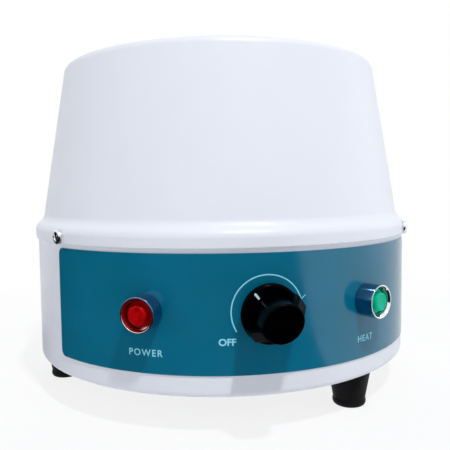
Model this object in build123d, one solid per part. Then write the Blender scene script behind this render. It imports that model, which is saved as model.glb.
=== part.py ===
from build123d import *
import os
from math import cos, radians, sin, sqrt, tan

# A round electric heating mantle for a 1 litre round-bottomed flask, in millimetres.
# +Z is up and the origin is on the housing's axis, at the level of the table. The controls face -Y.
# An angle on the housing is counted from -Y towards +X. A clock angle on the control panel is
# counted clockwise from straight up, as it is read by a person in front of the panel.

# ---- Sheet-metal housing ----
PAN_RADIUS = 125.0           # outside of the base pan
PAN_HEIGHT = 82.9            # from the pan's underside to its rim
PAN_WALL = 1.2
PAN_BEND = 3.0               # outside bend between floor and wall
SHELL_HEIGHT = 187.0         # from the pan's underside to the top flange
SHELL_WALL = 1.2
SKIRT_GAP = 0.2              # all round, between the skirt and the pan it slips over
SKIRT_OVERLAP = 6.6          # of the skirt over the pan's wall, down from the pan's rim
SKIRT_EDGE = 0.8             # rounding of the skirt's lower edge
SHOULDER_LIFT = 1.2          # of the shoulder's lower corner above the pan's rim
SHOULDER_BEND = 5.0
SHOULDER_WIDTH = 5.1         # from the skirt in to the foot of the cone
SHOULDER_HEIGHT = 4.8        # and up to it
CONE_FOOT_BEND = 6.0
CONE_LEAN = 9.37             # degrees that the cone leans inwards
TOP_BEND = 5.0
LIP_BEND = 4.0
LIP_DEPTH = 12.0             # of the flange that turns down into the nest
SHIELD_WALL = 1.0
SHIELD_FLANGE = 12.0
SHIELD_BEND = 2.0
SHIELD_GAP = 0.2             # between the shield's flange and the pan
SHIELD_DROP = 0.5            # of the flange's edge below the pan's rim

# ---- Fixing screws through skirt, pan and shield ----
FIXING_ANGLES = (-57.0, 57.0, 180.0)
FIXING_DROP = 2.6            # of the screws' axes below the pan's rim
FIXING_RADIUS = 1.75
FIXING_HEAD_RADIUS = 4.2
FIXING_HEAD_HEIGHT = 2.2
FIXING_HEAD_EDGE = 1.3
FIXING_NUT_FLATS = 7.0
FIXING_NUT_THICKNESS = 2.2
FIXING_NUT_SEAT = 0.1        # between a nut's face and the shield's curved flange
HOLE_CLEARANCE = 0.3         # round every screw, on the radius
SEAT_GAP = 0.05              # under parts that sit against a curved wall

# ---- Flask nest and what is packed round it ----
NEST_RADIUS = 67.5           # a 1 litre flask is 131 mm across, with room for the pile of the cloth
NEST_WALL = 3.2
NEST_CENTRE_DROP = 9.0       # of the hemisphere's centre below the top flange
NEST_RIM_DROP = 1.0          # of the nest's rim below the top flange
NEST_GAP = 0.3               # between the nest's collar and the lip
COIL_RADIUS = 1.2            # of the sleeved heating wire
COIL_GAP = 0.1
COIL_LATITUDES = (-8.0, -20.0, -32.0, -44.0, -56.0, -68.0)
WOOL_GAP = 0.3

# ---- Control panel label ----
LABEL_THICKNESS = 0.5
LABEL_BOTTOM = 11.9          # above the pan's underside
LABEL_DROP = 2.2             # of its upper edge below the skirt's edge
LABEL_HALF_ANGLE = 58.0
LABEL_CORNER = 4.0
PANEL_HEIGHT = 44.2          # of the knob's and the lamps' axes above the pan's underside

# ---- Indicator lamps ----
LAMP_ANGLE = 28.8
BEZEL_RADIUS = 9.3
BEZEL_LENGTH = 10.2
BEZEL_LIP = 0.8              # width of its front edge
BEZEL_FLOOR = 1.5            # thickness of its back, which the barrel passes through
LENS_RADIUS = 7.2
LENS_CAP_RADIUS = 5.2
LENS_STEP = 5.5              # where the lens steps down to its cap, from the bezel's back
LENS_FRONT = 9.0
LENS_DOME = 1.2
LENS_GAP = 0.1               # between the lens and the bezel, on the radius
BARREL_RADIUS = 5.0
BARREL_LENGTH = 16.0         # behind the bezel
LAMP_NUT_BAND = 2.0          # from the barrel to the nut's flats
LAMP_NUT_THICKNESS = 2.5
LAMP_NUT_SEAT = 0.4          # between the flat nut and the pan's curved wall
LAMP_BODY_STEP = 1.0         # of the body behind the barrel, on the radius
LAMP_BODY_LENGTH = 12.0
LAMP_TAG_SPACING = 6.0
LAMP_TAG = (2.8, 0.5, 7.0)   # width, thickness, length

# ---- Energy regulator, shaft and knob ----
SHAFT_RADIUS = 3.0
SHAFT_FLAT = 1.5             # cut off the shaft's side for the grub screw
SHAFT_TAIL = 8.5             # of the shaft inside the regulator
RUNNING_GAP = 0.05           # between shaft and bush, on the radius
BUSH_WALL = 1.95             # from the bush's bore to its thread
BUSH_COLLAR_STEP = 3.0       # of the collar beyond the thread, on the radius
BUSH_COLLAR = 3.0
BUSH_NUT_BAND = 2.0          # from the thread to the nut's flats
BUSH_NUT_THICKNESS = 2.5
BUSH_WASHER_BAND = 3.5
BUSH_WASHER = 0.8
BUSH_PROUD = 0.8             # of the bush in front of its nut
REGULATOR = (46.0, 46.0, 32.0)   # width, height, depth
REGULATOR_CORNER = 4.0
REGULATOR_COVER = 3.0        # thickness of the moulded cover at its back
REGULATOR_TAG = (6.3, 0.8, 8.0)
REGULATOR_TAG_SPACING = 15.0
KNOB_RADIUS = 15.4
KNOB_BACK = 1.5              # from the pan's surface to the knob's back
KNOB_BACK_WALL = 2.2         # of the skirt round the hollow, at its back
KNOB_SKIRT_BAND = 5.8        # where the skirt reaches its full radius
KNOB_SKIRT_FRONT = 8.2
KNOB_SKIRT_EDGE = 1.8        # rounding of the skirt's front edge
KNOB_FRONT = 28.4
KNOB_GRIP = (10.4, 9.0)      # half axes of the oval grip at its front
KNOB_GRIP_DRAFT = 0.5        # that the grip grows towards the skirt
KNOB_GRIP_EDGE = 1.0
KNOB_WING_WIDTH = 6.6
KNOB_WING_REACH = 14.9       # of the finger wings from the knob's axis
KNOB_WING_LOW = 18.0         # height of the wings at their outer ends
KNOB_WING_HIGH = 26.6        # and where they meet the grip
KNOB_WING_EDGE = 0.8
KNOB_HOLLOW_GAP = 2.1        # round the bush washer, on the radius
KNOB_HOLLOW_ROOM = 1.5       # in front of the bush
KNOB_BORE_DEPTH = 18.0
SHAFT_TIP_GAP = 0.5          # between the shaft's end and the end of the knob's bore
KNOB_POINTER = -41.0         # clock angle of the pointer mark
KNOB_GRIP_TURN = 99.0        # of the grip's long axis, clockwise from the pointer
GRUB_RADIUS = 1.5
GRUB_LENGTH = 5.0
GRUB_PLANE = 13.0            # in front of the pan's surface

# ---- Feet ----
FOOT_HEIGHT = 20.5
FOOT_ANGLES = {"right_foot": 31.5, "left_foot": -88.5, "rear_foot": 151.5}
FOOT_INSET = 14.5            # of the feet's axes from the pan's wall
FOOT_TOP_RADIUS = 12.2
FOOT_BOTTOM_RADIUS = 9.2
FOOT_BEAD = 0.4              # that the moulded bead at the bottom stands out
FOOT_BEAD_HEIGHT = 3.4
FOOT_BEAD_BLEND = 0.8
FOOT_EDGE = 2.4
FOOT_RECESS_RADIUS = 5.6
FOOT_RECESS_DEPTH = 9.0
FOOT_SCREW_RADIUS = 2.5
FOOT_SCREW_HEAD_RADIUS = 4.75
FOOT_SCREW_HEAD = 3.3
FOOT_WASHER_RADIUS = 5.3
FOOT_WASHER = 1.0
FOOT_NUT_FLATS = 8.0
FOOT_NUT_THICKNESS = 4.0
SCREW_TAIL = 1.2             # of a screw beyond its nut

# ---- Cord gland at the back ----
GLAND_HEIGHT = 24.0          # above the pan's underside
GLAND_RADIUS = 8.0
GLAND_FLATS = 19.0
GLAND_HEX = 5.0
GLAND_SPIGOT = 9.0           # of the threaded end inside the pan, from the wall's outer face
GLAND_BORE = 4.6
GLAND_THREAD = 7.5           # of the threaded end in front of the hexagon
GLAND_SEAL_RADIUS = 6.0
GLAND_SEAL_BORE = 3.9
GLAND_SEAL_LENGTH = 13.2
GLAND_CAP_LENGTH = 20.0
GLAND_CAP_HEX = 8.0          # length of the wrench flats
GLAND_CAP_RADIUS = 9.3       # of the nose where it leaves the flats
GLAND_CAP_NOSE = 6.6         # radius of its front
GLAND_CAP_EDGE = 1.2
GLAND_NUT_THICKNESS = 4.0

# ---- Terminal block, earth stud and wires ----
TERMINAL_BLOCK = (34.0, 20.0, 16.0)
TERMINAL_INSET = 63.0        # of the block's middle from the pan's back wall
TERMINAL_POLES = 3
TERMINAL_PITCH = 10.5
TERMINAL_WELL = 2.2
TERMINAL_SCREW_RADIUS = 1.9
TERMINAL_FIXING_RADIUS = 1.6
TERMINAL_FIXING_HEAD = 2.9
EARTH_OFFSET = 42.0          # of the stud, to the right of the terminal block's middle
EARTH_RADIUS = 2.0
EARTH_STUD_HEIGHT = 14.0
EARTH_NUT_FLATS = 7.0
EARTH_NUT_THICKNESS = 3.2
EARTH_RING = (4.0, 1.0)      # radius and thickness of the ring terminal
EARTH_TONGUE = (6.0, 3.0)    # reach from the stud's axis, and width, of its tongue
EARTH_HEADING = 68.0         # direction in which the lead comes to the stud, from +X towards +Y
EARTH_RUN = 22.0             # of the lead's last straight run, from the stud's axis
WIRE_RADIUS = 1.3
WIRE_GAP = 0.25              # between a wire's end and the terminal that holds it
WIRE_BEND = 8.0
HEATER_BEND = 10.0
SUPPLY_BEND = 20.0
HEATER_DROPS = (3, 4)        # of the feed and return leads below the shield, in bead tails
HEATER_FEED_RUN = 45.0       # straight run of a lead out of a blade or a wire way
HEATER_RETURN_RUN = 22.0
SUPPLY_RUNS = (30.0, 35.0)
LAMP_TAG_RUN = 25.0
LAMP_BLADE_RUN = 20.0
LAMP_SLACK = 14.0            # that a lamp's lead stands back from the straight line
EARTH_WAY_RUN = 14.0
EARTH_SWEEP = (14.0, 10.0, -2.0)     # from the low corner of the earth lead to its last run
WIRE_HEIGHT = 8.0            # of the wires' way into the terminal block, above the pan's floor
BEAD_RADIUS = 4.0            # ceramic bushes that carry the heater's leads through the shield
BEAD_FLANGE_RADIUS = 6.0
BEAD_FLANGE = 3.0
BEAD_TAIL = 7.0              # below the shield's top
BEAD_ANGLE = 34.0            # each side of the back, on the lowest ring of the coil
VENT_COUNT = 12
VENT_CIRCLE = 34.0
VENT_WIDTH = 3.5
VENT_LENGTH = 18.0

# ---- Places that follow from the sizes above ----
BASE = (Align.CENTER, Align.CENTER, Align.MIN)
PAN_FLOOR = FOOT_HEIGHT + PAN_WALL
PAN_INSIDE = PAN_RADIUS - PAN_WALL
PAN_RIM = FOOT_HEIGHT + PAN_HEIGHT
SHELL_TOP = FOOT_HEIGHT + SHELL_HEIGHT
SKIRT_TOP = PAN_RIM + SHOULDER_LIFT
CONE_FOOT = SKIRT_TOP + SHOULDER_HEIGHT
SKIRT_HEM = PAN_RIM - SKIRT_OVERLAP
SKIRT_RADIUS = PAN_RADIUS + SKIRT_GAP + SHELL_WALL
SHIELD_RIM = PAN_RIM - SHIELD_DROP
SHIELD_UNDERSIDE = SHIELD_RIM - SHIELD_FLANGE
SHIELD_TOP = SHIELD_UNDERSIDE + SHIELD_WALL
SHIELD_RADIUS = PAN_INSIDE - SHIELD_GAP
FIXING_LEVEL = PAN_RIM - FIXING_DROP
FIXING_NUT_FACE = SHIELD_RADIUS - SHIELD_WALL - FIXING_NUT_SEAT
FOOT_CIRCLE = PAN_RADIUS - FOOT_INSET
PANEL_LEVEL = FOOT_HEIGHT + PANEL_HEIGHT
LABEL_RADIUS = PAN_RADIUS + LABEL_THICKNESS
NEST_OUTSIDE = NEST_RADIUS + NEST_WALL
NEST_CENTRE = SHELL_TOP - NEST_CENTRE_DROP
OPENING_RADIUS = NEST_OUTSIDE + NEST_GAP
WOOL_INSIDE = NEST_OUTSIDE + COIL_GAP + 2 * COIL_RADIUS + WOOL_GAP
GLAND_LEVEL = FOOT_HEIGHT + GLAND_HEIGHT
GLAND_THREAD_END = GLAND_HEX + GLAND_THREAD
GLAND_SEAL_END = GLAND_HEX + GLAND_SEAL_LENGTH
GLAND_FRONT = GLAND_HEX + GLAND_CAP_LENGTH
COIL_REACH = NEST_OUTSIDE + COIL_GAP + COIL_RADIUS
LAST_RING = radians(COIL_LATITUDES[-1])
BEAD_REACH = COIL_REACH * cos(LAST_RING)
BEAD_PLACES = [(side * BEAD_REACH * sin(radians(BEAD_ANGLE)), BEAD_REACH * cos(radians(BEAD_ANGLE)))
               for side in (-1, 1)]
BUSH_RADIUS = SHAFT_RADIUS + RUNNING_GAP + BUSH_WALL
BUSH_COLLAR_RADIUS = BUSH_RADIUS + BUSH_COLLAR_STEP
BUSH_WASHER_RADIUS = BUSH_RADIUS + BUSH_WASHER_BAND
BUSH_NUT_FLATS = 2 * (BUSH_RADIUS + BUSH_NUT_BAND)
BUSH_COLLAR_FRONT = sqrt(PAN_INSIDE**2 - BUSH_COLLAR_RADIUS**2) - SEAT_GAP - PAN_RADIUS
BUSH_FRONT = LABEL_THICKNESS + BUSH_WASHER + BUSH_NUT_THICKNESS + BUSH_PROUD
REGULATOR_FRONT = BUSH_COLLAR_FRONT - BUSH_COLLAR
REGULATOR_BACK = REGULATOR_FRONT - REGULATOR[2]
KNOB_HOLLOW_RADIUS = BUSH_WASHER_RADIUS + KNOB_HOLLOW_GAP
KNOB_HOLLOW_END = BUSH_FRONT + KNOB_HOLLOW_ROOM
SHAFT_END = KNOB_BACK + KNOB_BORE_DEPTH - SHAFT_TIP_GAP
LAMP_BODY_BACK = -BARREL_LENGTH - LAMP_BODY_LENGTH
TERMINAL_PLACE = (0.0, PAN_RADIUS - TERMINAL_INSET)
TERMINAL_FIXING_OFFSET = TERMINAL_PITCH / 2
EARTH_PLACE = (EARTH_OFFSET, TERMINAL_PLACE[1])


def wall_frame(angle, level, radius):
    """A frame on the housing's side: x to the right, y up and z straight out of the wall."""
    out = Vector(sin(radians(angle)), -cos(radians(angle)), 0)
    right = Vector(cos(radians(angle)), sin(radians(angle)), 0)
    return Plane(origin=out * radius + Vector(0, 0, level), x_dir=right, z_dir=out)


def rod(radius, start, end):
    """A round bar along z, from one level to another."""
    return Pos(0, 0, start) * Cylinder(radius, end - start, align=BASE)


def tube(outside, inside, start, end):
    return rod(outside, start, end) - rod(inside, start, end)


def hexagon(flats, start, end):
    """A hexagonal bar along z."""
    outline = RegularPolygon(flats / 2, 6, major_radius=False)
    return Pos(0, 0, start) * extrude(outline, end - start)


def hex_nut(flats, bore, start, end):
    return hexagon(flats, start, end) - rod(bore, start, end)


def left_of(path, distance):
    """The path of points moved to its left, mitred at its corners."""
    steps = [(b - a).normalized() for a, b in zip(path, path[1:])]
    sides = [Vector(-step.Y, step.X) for step in steps]
    moved = [path[0] + sides[0] * distance]
    for point, one, two in zip(path[1:], sides, sides[1:]):
        moved.append(point + (one + two) * (distance / (1 + one.dot(two))))
    return moved + [path[-1] + sides[-1] * distance]


def spun_sheet(outline, bends, wall):
    """A spun sheet: the outline of its face with a bend at each corner, and the wall to its left."""
    path = [Vector(*point) for point in outline]
    inner_bends = []
    for bend, a, b, c in zip(bends, path, path[1:], path[2:]):
        turns_left = (b - a).cross(c - b).Z > 0
        inner_bends.append(bend - wall if turns_left else bend + wall)
    face = FilletPolyline(*path, radius=bends)
    back = FilletPolyline(*left_of(path, wall), radius=inner_bends)
    ends = [Line(face @ 0, back @ 0), Line(face @ 1, back @ 1)]
    section = make_face([face, back] + ends)
    return revolve(Plane.XZ * section, Axis.Z)


def turned(points):
    """A solid of revolution about z, from the points (radius, level) of its section."""
    return revolve(Plane.XZ * make_face(Polyline(*points, close=True)), Axis.Z)


def wall_holes(angles, level, radius):
    """Cutters through the housing's side, for screws or bushes."""
    return [wall_frame(angle, level, 0) * rod(radius, PAN_RADIUS - 20, PAN_RADIUS + 20) for angle in angles]


def foot_places():
    angles = [radians(angle) for angle in FOOT_ANGLES.values()]
    return [Pos(FOOT_CIRCLE * sin(angle), -FOOT_CIRCLE * cos(angle), 0) for angle in angles]


def terminal_fixing_places():
    x, y = TERMINAL_PLACE
    return [Pos(x + side * TERMINAL_FIXING_OFFSET, y, 0) for side in (-1, 1)]


# ---- Housing ----

def upper_housing():
    """One spinning: skirt, shoulder, cone, top flange and the lip that turns down into the nest."""
    cone_foot = SKIRT_RADIUS - SHOULDER_WIDTH
    cone_top = cone_foot - (SHELL_TOP - CONE_FOOT) * tan(radians(CONE_LEAN))
    outline = [
        (SKIRT_RADIUS, SKIRT_HEM),
        (SKIRT_RADIUS, SKIRT_TOP),
        (cone_foot, CONE_FOOT),
        (cone_top, SHELL_TOP),
        (OPENING_RADIUS, SHELL_TOP),
        (OPENING_RADIUS, SHELL_TOP - LIP_DEPTH),
    ]
    shell = spun_sheet(outline, [SHOULDER_BEND, CONE_FOOT_BEND, TOP_BEND, LIP_BEND], SHELL_WALL)
    hem = shell.edges().group_by(Axis.Z)[0].sort_by(SortBy.RADIUS)[-1]
    shell = fillet(hem, SKIRT_EDGE)
    return shell - wall_holes(FIXING_ANGLES, FIXING_LEVEL, FIXING_RADIUS + HOLE_CLEARANCE)


def base_pan():
    """The drawn pan, with its vents, foot holes and the holes for lamps, regulator, gland and screws."""
    outline = [(0, FOOT_HEIGHT), (PAN_RADIUS, FOOT_HEIGHT), (PAN_RADIUS, PAN_RIM)]
    pan = spun_sheet(outline, [PAN_BEND], PAN_WALL)
    pan -= wall_holes(FIXING_ANGLES, FIXING_LEVEL, FIXING_RADIUS + HOLE_CLEARANCE)
    pan -= wall_holes((-LAMP_ANGLE, LAMP_ANGLE), PANEL_LEVEL, BARREL_RADIUS + HOLE_CLEARANCE)
    pan -= wall_holes((0,), PANEL_LEVEL, BUSH_RADIUS + HOLE_CLEARANCE)
    pan -= wall_holes((180,), GLAND_LEVEL, GLAND_RADIUS + HOLE_CLEARANCE)
    pan -= [place * rod(FOOT_SCREW_RADIUS + HOLE_CLEARANCE, 0, PAN_FLOOR + 1) for place in foot_places()]
    slot = extrude(SlotOverall(VENT_LENGTH, VENT_WIDTH), PAN_FLOOR + 1)
    pan -= PolarLocations(VENT_CIRCLE, VENT_COUNT) * slot
    fixing = rod(TERMINAL_FIXING_RADIUS + HOLE_CLEARANCE, 0, PAN_FLOOR + 1)
    pan -= [place * fixing for place in terminal_fixing_places()]
    return pan - Pos(*EARTH_PLACE) * rod(EARTH_RADIUS + HOLE_CLEARANCE, 0, PAN_FLOOR + 1)


def heat_shield():
    """The tray between the hot nest and the electrical space, held by the same screws as the skirt."""
    outline = [(0, SHIELD_UNDERSIDE), (SHIELD_RADIUS, SHIELD_UNDERSIDE), (SHIELD_RADIUS, SHIELD_RIM)]
    shield = spun_sheet(outline, [SHIELD_BEND], SHIELD_WALL)
    shield -= wall_holes(FIXING_ANGLES, FIXING_LEVEL, FIXING_RADIUS + HOLE_CLEARANCE)
    bead_hole = rod(BEAD_RADIUS + HOLE_CLEARANCE, SHIELD_TOP - 5, SHIELD_TOP + 5)
    return shield - [Pos(*place) * bead_hole for place in BEAD_PLACES]


def housing_screws():
    seat = SKIRT_RADIUS
    tail = FIXING_NUT_FACE - FIXING_NUT_THICKNESS - SCREW_TAIL
    screw = rod(FIXING_RADIUS, tail, seat) + rod(FIXING_HEAD_RADIUS, seat, seat + FIXING_HEAD_HEIGHT)
    screw = fillet(screw.edges().group_by(Axis.Z)[-1], FIXING_HEAD_EDGE)
    return [wall_frame(angle, FIXING_LEVEL, 0) * screw for angle in FIXING_ANGLES]


def housing_nuts():
    back = FIXING_NUT_FACE - FIXING_NUT_THICKNESS
    nut = hex_nut(FIXING_NUT_FLATS, FIXING_RADIUS, back, FIXING_NUT_FACE)
    return [wall_frame(angle, FIXING_LEVEL, 0) * nut for angle in FIXING_ANGLES]


# ---- Nest ----

def flask_nest():
    """The glass-cloth bowl: a hemisphere with a short straight collar inside the lip."""
    rim = SHELL_TOP - NEST_RIM_DROP
    section = make_face([
        Line((0, NEST_CENTRE - NEST_OUTSIDE), (0, NEST_CENTRE - NEST_RADIUS)),
        CenterArc((0, NEST_CENTRE), NEST_RADIUS, -90, 90),
        Line((NEST_RADIUS, NEST_CENTRE), (NEST_RADIUS, rim)),
        Line((NEST_RADIUS, rim), (NEST_OUTSIDE, rim)),
        Line((NEST_OUTSIDE, rim), (NEST_OUTSIDE, NEST_CENTRE)),
        CenterArc((0, NEST_CENTRE), NEST_OUTSIDE, -90, 90),
    ])
    return revolve(Plane.XZ * section, Axis.Z)


def heating_coil():
    """The sleeved resistance wire, laid in rings round the outside of the nest."""
    rings = []
    for latitude in COIL_LATITUDES:
        level = NEST_CENTRE + COIL_REACH * sin(radians(latitude))
        rings.append(Pos(0, 0, level) * Torus(COIL_REACH * cos(radians(latitude)), COIL_RADIUS))
    return rings


def insulation():
    """Glass wool packed between the nest and the cone."""
    top = SHELL_TOP - SHELL_WALL - WOOL_GAP
    foot = SHIELD_TOP + WOOL_GAP
    lean = tan(radians(CONE_LEAN))
    cone_wall = SHELL_WALL / cos(radians(CONE_LEAN)) + WOOL_GAP
    cone_foot = SKIRT_RADIUS - SHOULDER_WIDTH - cone_wall
    top_radius = cone_foot - (SHELL_TOP - CONE_FOOT) * lean
    lip_outside = OPENING_RADIUS + SHELL_WALL + WOOL_GAP
    block = turned([
        (0, foot),
        (cone_foot - CONE_FOOT_BEND, foot),
        (cone_foot - CONE_FOOT_BEND, CONE_FOOT + CONE_FOOT_BEND),
        (top_radius + TOP_BEND * lean, top - TOP_BEND),
        (top_radius - TOP_BEND / 2, top),
        (0, top),
    ])
    block -= Pos(0, 0, NEST_CENTRE) * Sphere(WOOL_INSIDE)
    block -= rod(WOOL_INSIDE, NEST_CENTRE, SHELL_TOP)
    block -= rod(lip_outside + LIP_BEND, SHELL_TOP - LIP_DEPTH - WOOL_GAP, SHELL_TOP)
    lead_hole = rod(WIRE_RADIUS + WOOL_GAP, foot - 1, NEST_CENTRE)
    bead_hole = rod(BEAD_FLANGE_RADIUS + WOOL_GAP, foot - 1, SHIELD_TOP + BEAD_FLANGE + WOOL_GAP)
    return block - [Pos(*place) * hole for place in BEAD_PLACES for hole in (lead_hole, bead_hole)]


# ---- Front panel ----

def front_label():
    """The printed plastic sheet bonded round the front of the pan."""
    half = LABEL_HALF_ANGLE
    low = FOOT_HEIGHT + LABEL_BOTTOM
    high = SKIRT_HEM - LABEL_DROP
    middle = Pos((PAN_RADIUS + LABEL_RADIUS) / 2, (low + high) / 2)
    section = Plane.XZ * middle * Rectangle(LABEL_THICKNESS, high - low)
    strip = Rot(Z=-90 - half) * revolve(section, Axis.Z, 2 * half)
    corners = [edge for edge in strip.edges() if edge.length < 2 * LABEL_THICKNESS]
    strip = fillet(corners, LABEL_CORNER)
    strip -= wall_holes((-LAMP_ANGLE, LAMP_ANGLE), PANEL_LEVEL, BARREL_RADIUS + HOLE_CLEARANCE)
    return strip - wall_holes((0,), PANEL_LEVEL, BUSH_RADIUS + HOLE_CLEARANCE)


def lamp_parts(colour):
    """The pieces of one indicator lamp, in its own frame: z = 0 on the label, and the wall behind it."""
    back = PAN_INSIDE - LABEL_RADIUS
    nut_front = back - LAMP_NUT_SEAT
    bezel = rod(BEZEL_RADIUS, 0, BEZEL_LENGTH)
    bezel -= Pos(0, 0, BEZEL_FLOOR) * Cone(
        LENS_RADIUS + LENS_GAP, BEZEL_RADIUS - BEZEL_LIP, BEZEL_LENGTH - BEZEL_FLOOR, align=BASE
    )
    bezel -= rod(BARREL_RADIUS, 0, BEZEL_FLOOR)
    lens = rod(LENS_RADIUS, BEZEL_FLOOR, LENS_STEP) + rod(LENS_CAP_RADIUS, LENS_STEP, LENS_FRONT)
    lens = fillet(lens.edges().group_by(Axis.Z)[-1], LENS_DOME)
    body = rod(BARREL_RADIUS, -BARREL_LENGTH, BEZEL_FLOOR)
    body += rod(BARREL_RADIUS + LAMP_BODY_STEP, LAMP_BODY_BACK, -BARREL_LENGTH)
    nut_flats = 2 * (BARREL_RADIUS + LAMP_NUT_BAND)
    nut = hex_nut(nut_flats, BARREL_RADIUS, nut_front - LAMP_NUT_THICKNESS, nut_front)
    width, thickness, length = LAMP_TAG
    tag = Pos(0, 0, LAMP_BODY_BACK - length) * Box(width, thickness, length, align=BASE)
    tags = [Pos(0, y, 0) * tag for y in (-LAMP_TAG_SPACING / 2, LAMP_TAG_SPACING / 2)]
    return {
        f"{colour}_lamp_bezel": bezel,
        f"{colour}_lamp_lens": lens,
        f"{colour}_lamp_body": body,
        f"{colour}_lamp_nut": nut,
        f"{colour}_lamp_tags": tags,
    }


# ---- Regulator, shaft and knob, in a frame with z = 0 on the pan's outer surface ----

def regulator_case():
    width, height, _ = REGULATOR
    depth = REGULATOR[2] - REGULATOR_COVER
    case = Pos(0, 0, REGULATOR_FRONT - depth) * Box(width, height, depth, align=BASE)
    case = fillet(case.edges().filter_by(Axis.Z), REGULATOR_CORNER)
    hole_end = REGULATOR_FRONT - SHAFT_TAIL - SHAFT_TIP_GAP
    return case - rod(SHAFT_RADIUS + HOLE_CLEARANCE, hole_end, REGULATOR_FRONT)


def regulator_cover():
    width, height, _ = REGULATOR
    cover = Pos(0, 0, REGULATOR_BACK) * Box(width, height, REGULATOR_COVER, align=BASE)
    return fillet(cover.edges().filter_by(Axis.Z), REGULATOR_CORNER)


def regulator_tags():
    """Four push-on blades on the cover."""
    width, thickness, length = REGULATOR_TAG
    tag = Pos(0, 0, REGULATOR_BACK - length) * Box(width, thickness, length, align=BASE)
    half = REGULATOR_TAG_SPACING / 2
    return [Pos(x, y, 0) * tag for x in (-half, half) for y in (-half, half)]


def regulator_bush():
    """The threaded brass bush that holds the regulator in the panel and carries its shaft."""
    bush = rod(BUSH_RADIUS, REGULATOR_FRONT, BUSH_FRONT)
    bush += rod(BUSH_COLLAR_RADIUS, REGULATOR_FRONT, BUSH_COLLAR_FRONT)
    return bush - rod(SHAFT_RADIUS + RUNNING_GAP, REGULATOR_FRONT, BUSH_FRONT)


def regulator_washer():
    return tube(BUSH_WASHER_RADIUS, BUSH_RADIUS, LABEL_THICKNESS, LABEL_THICKNESS + BUSH_WASHER)


def regulator_nut():
    back = LABEL_THICKNESS + BUSH_WASHER
    return hex_nut(BUSH_NUT_FLATS, BUSH_RADIUS, back, back + BUSH_NUT_THICKNESS)


def flatted_rod(gap, start, end):
    """The shaft's section: round, with a flat towards -y for the grub screw. A gap makes it a bore."""
    radius = SHAFT_RADIUS + gap
    flat = SHAFT_RADIUS - SHAFT_FLAT + gap
    cut = Pos(0, -flat - radius, start) * Box(4 * radius, 2 * radius, end - start, align=BASE)
    return rod(radius, start, end) - cut


def control_shaft():
    round_part = rod(SHAFT_RADIUS, REGULATOR_FRONT - SHAFT_TAIL, KNOB_HOLLOW_END)
    return round_part + flatted_rod(0, KNOB_HOLLOW_END, SHAFT_END)


def control_knob():
    """A moulded knob: round skirt, oval finger grip and two wings that run out to the skirt's edge."""
    long_half, short_half = KNOB_GRIP
    skirt = turned([
        (0, KNOB_BACK),
        (KNOB_HOLLOW_RADIUS + KNOB_BACK_WALL, KNOB_BACK),
        (KNOB_RADIUS, KNOB_SKIRT_BAND),
        (KNOB_RADIUS, KNOB_SKIRT_FRONT),
        (0, KNOB_SKIRT_FRONT),
    ])
    skirt = fillet(skirt.edges().group_by(Axis.Z)[-1], KNOB_SKIRT_EDGE)
    wide = Ellipse(long_half + KNOB_GRIP_DRAFT, short_half + KNOB_GRIP_DRAFT)
    grip = loft([
        Pos(0, 0, KNOB_SKIRT_FRONT - KNOB_SKIRT_EDGE) * wide,
        Pos(0, 0, KNOB_FRONT) * Ellipse(long_half, short_half),
    ])
    grip = fillet(grip.edges().group_by(Axis.Z)[-1], KNOB_GRIP_EDGE)
    wing_foot = KNOB_SKIRT_FRONT - KNOB_SKIRT_EDGE
    outline = make_face(Polyline(
        (-KNOB_WING_REACH, wing_foot),
        (-KNOB_WING_REACH, KNOB_WING_LOW),
        (-long_half, KNOB_WING_HIGH),
        (long_half, KNOB_WING_HIGH),
        (KNOB_WING_REACH, KNOB_WING_LOW),
        (KNOB_WING_REACH, wing_foot),
        close=True,
    ))
    wings = extrude(Plane.XZ * outline, KNOB_WING_WIDTH / 2, both=True)
    tops = [edge for edge in wings.edges() if edge.center().Z > KNOB_WING_LOW - KNOB_WING_EDGE]
    wings = fillet(tops, KNOB_WING_EDGE)
    knob = skirt + grip + wings
    knob -= rod(KNOB_HOLLOW_RADIUS, KNOB_BACK, KNOB_HOLLOW_END)
    knob -= flatted_rod(RUNNING_GAP, KNOB_BACK, KNOB_BACK + KNOB_BORE_DEPTH)
    side_hole = Cylinder(GRUB_RADIUS + RUNNING_GAP, KNOB_RADIUS, align=BASE)
    return knob - Pos(0, 0, GRUB_PLANE) * Rot(X=90) * side_hole


def knob_grub_screw():
    flat = SHAFT_RADIUS - SHAFT_FLAT
    return Pos(0, -flat, GRUB_PLANE) * Rot(X=90) * Cylinder(GRUB_RADIUS, GRUB_LENGTH, align=BASE)


# ---- Feet ----

def foot():
    """A moulded rubber foot: a taper that ends in a rounded bead, with a recess for its screw."""
    bead_radius = FOOT_BOTTOM_RADIUS + FOOT_BEAD
    outline = [
        (FOOT_RECESS_RADIUS, 0),
        (bead_radius, 0),
        (bead_radius, FOOT_BEAD_HEIGHT),
        (FOOT_BOTTOM_RADIUS, FOOT_BEAD_HEIGHT + 2 * FOOT_BEAD),
        (FOOT_TOP_RADIUS, FOOT_HEIGHT),
    ]
    outside = FilletPolyline(*outline, radius=[FOOT_EDGE, FOOT_BEAD_BLEND / 2, FOOT_BEAD_BLEND])
    hole = FOOT_SCREW_RADIUS + HOLE_CLEARANCE
    inside = Polyline(
        (FOOT_TOP_RADIUS, FOOT_HEIGHT),
        (hole, FOOT_HEIGHT),
        (hole, FOOT_RECESS_DEPTH),
        (FOOT_RECESS_RADIUS, FOOT_RECESS_DEPTH),
        (FOOT_RECESS_RADIUS, 0),
    )
    return revolve(Plane.XZ * make_face([outside, inside]), Axis.Z)


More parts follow.
